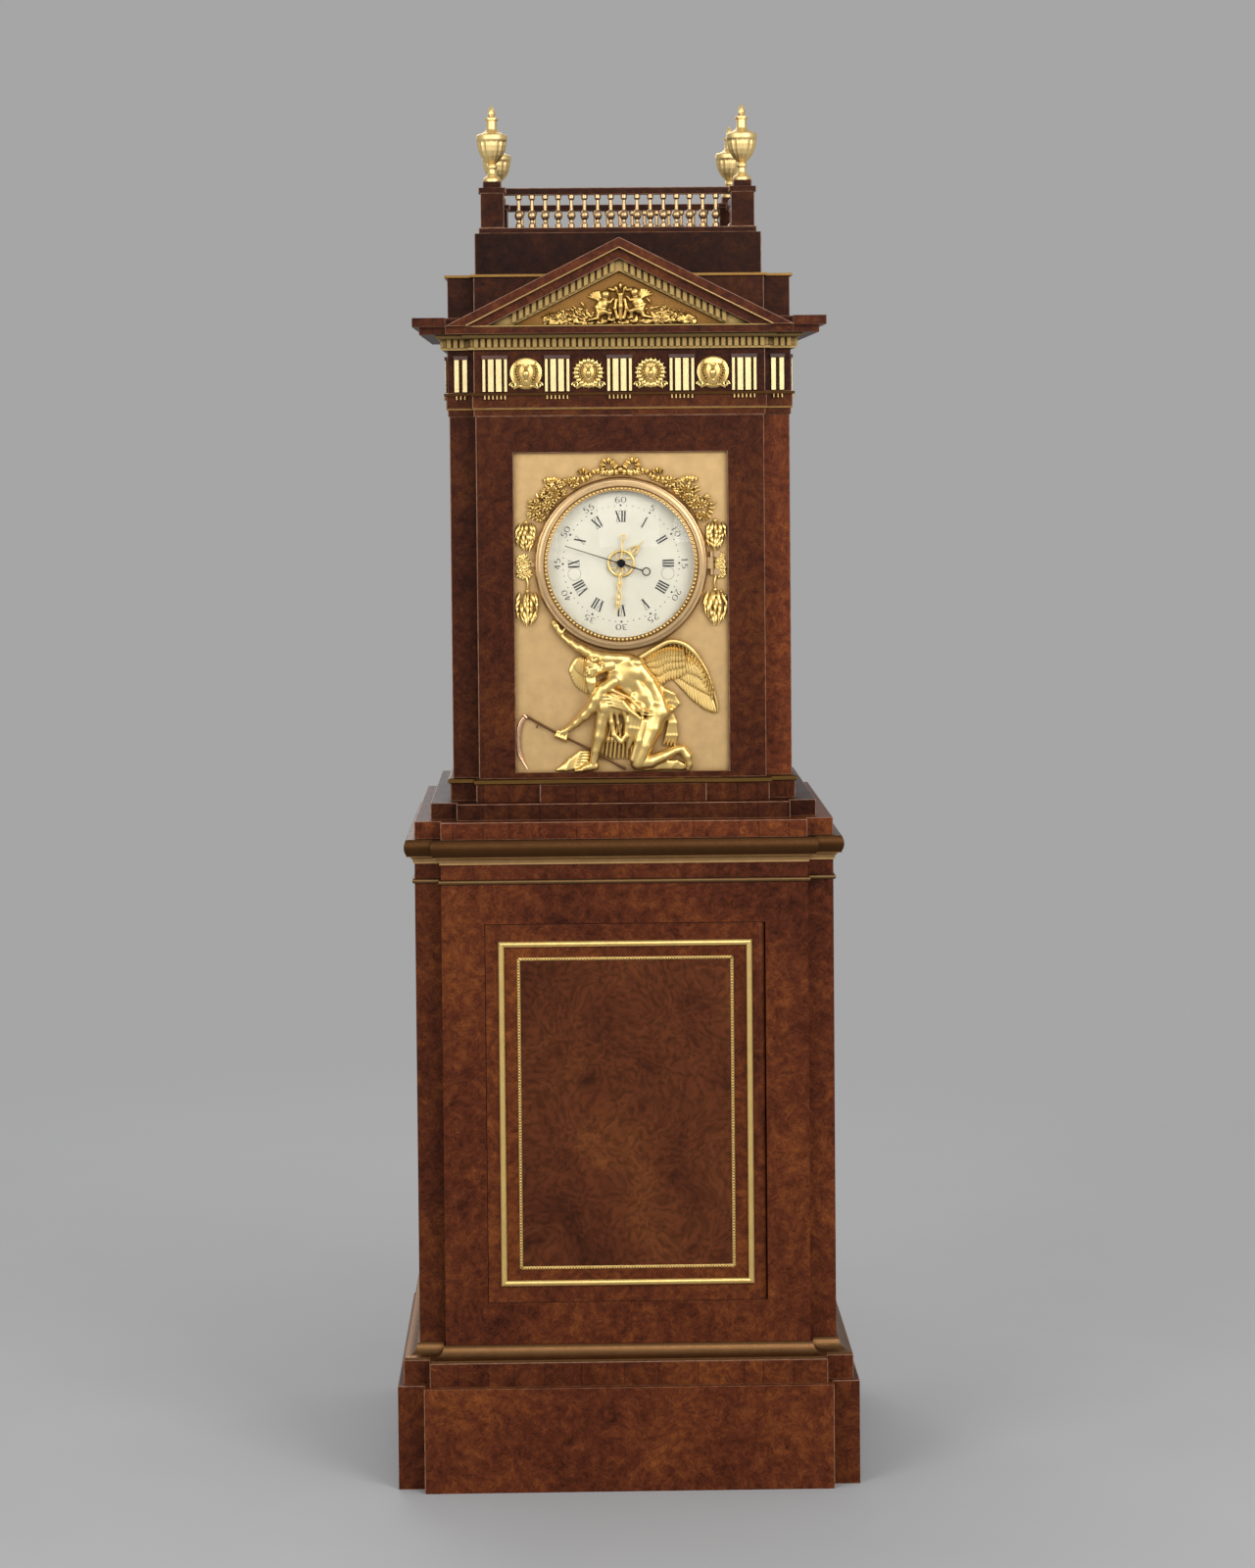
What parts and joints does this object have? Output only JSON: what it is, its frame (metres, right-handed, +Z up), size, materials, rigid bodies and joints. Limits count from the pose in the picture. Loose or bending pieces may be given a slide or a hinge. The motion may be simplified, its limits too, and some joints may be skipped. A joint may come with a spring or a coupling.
{
  "type": "longcase clock",
  "caption": "Tall case clock in burl wood with gilt mounts: glazed enamel dial in a square hood, hinged trunk door, swinging pendulum, pediment and balustrade with urns.",
  "frame": {"origin": "on the floor, under the middle of the plinth's plan", "axes": "+Z up, -Y is the front with the dial, +X is the viewer's right"},
  "size_m": [0.64, 0.55, 1.919],
  "materials": {
    "burl_wood": "polished burl veneer",
    "plain_wood": "plain oak boards",
    "gilt_bronze": "gilt, polished",
    "grained_brass": "gilt, matted",
    "clock_brass": "brushed brass",
    "steel": "polished steel",
    "black_steel": "black",
    "enamel": "white enamel",
    "glass": "clear domed glass"
  },
  "bodies": {
    "case": {"plinth": "burl_wood", "plinth_course": "burl_wood", "trunk_carcass": "burl_wood", "side_panels": "burl_wood", "lower_step": "burl_wood", "upper_step": "burl_wood", "hood_plinth": "burl_wood", "hood_carcass": "burl_wood", "architrave": "burl_wood", "frieze": "burl_wood", "cornice": "burl_wood", "pediment": "burl_wood", "attic_base": "burl_wood", "attic_block": "burl_wood", "balustrade": "burl_wood", "backboard": "plain_wood", "seat_board": "plain_wood", "triglyphs": "gilt_bronze", "medallions": "gilt_bronze", "cornice_dentils": "gilt_bronze", "pediment_dentils": "gilt_bronze", "balusters": "gilt_bronze", "finials": "gilt_bronze", "bezel_hinge": "gilt_bronze", "figure_of_time": "gilt_bronze", "scythe": "gilt_bronze", "garlands": "gilt_bronze", "tympanum_relief": "gilt_bronze", "hood_mouldings": "gilt_bronze", "base_cove": "gilt_bronze", "trunk_mouldings": "gilt_bronze", "dial_panel": "grained_brass", "front_plate": "clock_brass", "back_plate": "clock_brass", "bell": "clock_brass", "door_pivots": "steel", "dial": "enamel"},
    "trunk_door": {"trunk_door": "burl_wood", "door_moulding": "gilt_bronze", "door_beading": "gilt_bronze"},
    "bezel": {"bezel": "gilt_bronze", "dial_glass": "glass"},
    "minute": {"cannon_wheel": "clock_brass", "minute_hand": "gilt_bronze"},
    "hour": {"hour_wheel": "clock_brass", "hour_hand": "gilt_bronze"},
    "seconds": {"escape_wheel": "clock_brass", "seconds_hand": "black_steel"},
    "minute_arbor": {"minute_arbor": "clock_brass"},
    "idler": {"idler_wheel": "clock_brass"},
    "second_arbor": {"second_arbor": "clock_brass"},
    "third_arbor": {"third_arbor": "clock_brass"},
    "going_barrel": {"going_barrel": "clock_brass"},
    "going_arbor": {"going_arbor": "steel"},
    "strike_barrel": {"strike_barrel": "clock_brass"},
    "strike_arbor": {"strike_arbor": "steel"},
    "pendulum": {"anchor": "steel", "pendulum_rod": "steel", "pendulum_bob": "clock_brass"},
    "hammer": {"hammer": "steel"}
  },
  "joints": [
    {"name": "trunk_door_open", "type": "hinge", "parent": "case", "child": "trunk_door", "pos_m": [0.185, -0.237, 0.5205], "axis": [0, 0, 1], "range_deg": [0, 90]},
    {"name": "bezel_open", "type": "hinge", "parent": "case", "child": "bezel", "pos_m": [0.126, -0.1875, 1.278], "axis": [0, 0, 1], "range_deg": [0, 110]},
    {"name": "minute_turn", "type": "hinge", "parent": "case", "child": "minute", "pos_m": [0, -0.13, 1.278], "axis": [0, 1, 0], "continuous": true},
    {"name": "hour_turn", "type": "hinge", "parent": "case", "child": "hour", "pos_m": [0, -0.13, 1.278], "axis": [0, 1, 0], "continuous": true},
    {"name": "seconds_turn", "type": "hinge", "parent": "case", "child": "seconds", "pos_m": [0, -0.13, 1.278], "axis": [0, 1, 0], "continuous": true},
    {"name": "minute_arbor_turn", "type": "hinge", "parent": "case", "child": "minute_arbor", "pos_m": [0.02, -0.13, 1.242], "axis": [0, 1, 0], "continuous": true},
    {"name": "idler_turn", "type": "hinge", "parent": "case", "child": "idler", "pos_m": [0.0276, -0.13, 1.26978], "axis": [0, 1, 0], "continuous": true},
    {"name": "second_arbor_turn", "type": "hinge", "parent": "case", "child": "second_arbor", "pos_m": [0.041, -0.13, 1.22808], "axis": [0, 1, 0], "continuous": true},
    {"name": "third_arbor_turn", "type": "hinge", "parent": "case", "child": "third_arbor", "pos_m": [-0.00284, -0.13, 1.25266], "axis": [0, 1, 0], "continuous": true},
    {"name": "going_barrel_turn", "type": "hinge", "parent": "case", "child": "going_barrel", "pos_m": [0.065, -0.13, 1.264], "axis": [0, 1, 0], "continuous": true},
    {"name": "going_arbor_wind", "type": "hinge", "parent": "case", "child": "going_arbor", "pos_m": [0.065, -0.13, 1.264], "axis": [0, 1, 0], "range_deg": [0, 1728]},
    {"name": "strike_barrel_turn", "type": "hinge", "parent": "case", "child": "strike_barrel", "pos_m": [-0.065, -0.13, 1.264], "axis": [0, 1, 0], "continuous": true},
    {"name": "strike_arbor_wind", "type": "hinge", "parent": "case", "child": "strike_arbor", "pos_m": [-0.065, -0.13, 1.264], "axis": [0, 1, 0], "range_deg": [0, 1728]},
    {"name": "pendulum_swing", "type": "hinge", "parent": "case", "child": "pendulum", "pos_m": [0, -0.13, 1.312], "axis": [0, 1, 0], "range_deg": [-3, 3]},
    {"name": "hammer_lift", "type": "hinge", "parent": "case", "child": "hammer", "pos_m": [-0.084, -0.13, 1.318], "axis": [0, -1, 0], "range_deg": [0, 15], "stiffness_Nm_per_rad": 0.05, "springref_deg": -11.46}
  ],
  "couplings": [
    {"joint": "hour_turn", "follows": "minute_turn", "ratio": 0.083333},
    {"joint": "seconds_turn", "follows": "minute_turn", "ratio": 60},
    {"joint": "minute_arbor_turn", "follows": "minute_turn", "ratio": 1},
    {"joint": "idler_turn", "follows": "minute_turn", "ratio": -1},
    {"joint": "second_arbor_turn", "follows": "minute_turn", "ratio": -0.2},
    {"joint": "third_arbor_turn", "follows": "minute_turn", "ratio": -8},
    {"joint": "going_barrel_turn", "follows": "minute_turn", "ratio": 0.025}
  ]
}
